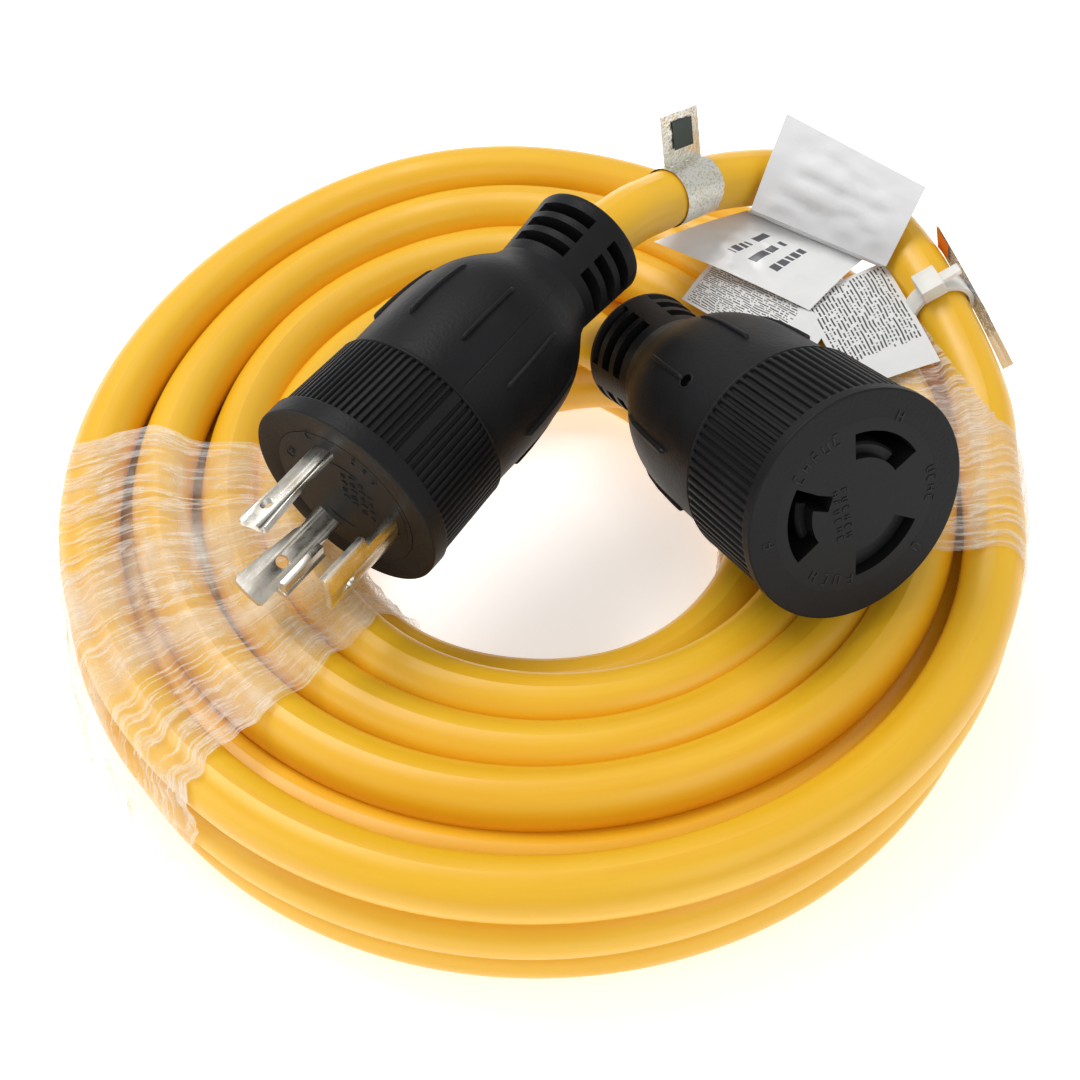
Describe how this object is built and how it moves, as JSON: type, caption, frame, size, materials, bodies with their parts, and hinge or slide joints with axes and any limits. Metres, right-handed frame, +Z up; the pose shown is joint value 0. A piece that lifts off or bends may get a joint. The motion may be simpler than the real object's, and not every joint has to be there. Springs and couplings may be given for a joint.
{
  "type": "twist-lock extension cord",
  "caption": "Grounded power extension cord wound into a flat round coil, with a moulded twist-lock plug and connector, strain reliefs, labels, a cable tie and film wraps.",
  "frame": {"origin": "on the plane that the coil lies on, under the middle of the coil", "axes": "+Z up along the coil's axis, -Y towards the side that both the plug's blades and the connector's face point to, +X to the connector's side"},
  "size_m": [0.2248, 0.2226, 0.0918],
  "materials": {
    "overmold": "satin, fine leather grain",
    "insert": "satin, smooth",
    "blade": "nickel-plated, satin, lightly scratched",
    "contact": "bare",
    "core_black": "smooth",
    "core_white": "smooth",
    "core_green": "smooth",
    "jacket": "satin, faint raised marks",
    "nylon": "milky",
    "foil": "embossed security foil",
    "label": "gloss laminated",
    "leaflet": "matt, printed with plain bars",
    "film": "clear, wrinkled"
  },
  "bodies": {
    "root": {"plug_overmold": "overmold", "plug_strain_relief": "overmold", "plug_face_insert": "insert", "blade_x": "blade", "blade_y": "blade", "blade_ground": "blade", "plug_core_x": "core_black", "plug_core_y": "core_white", "plug_core_ground": "core_green", "connector_overmold": "overmold", "connector_strain_relief": "overmold", "connector_face_insert": "insert", "contact_x": "contact", "contact_y": "contact", "contact_ground": "contact", "connector_core_x": "core_black", "connector_core_y": "core_white", "connector_core_ground": "core_green", "cord_coil": "jacket", "plug_tail": "jacket", "connector_tail": "jacket", "cable_tie": "nylon", "foil_label": "foil", "flag_label": "label", "leaflet": "leaflet", "leaflet_flap": "leaflet", "film_wrap_left": "film", "film_wrap_right": "film"}
  },
  "joints": []
}
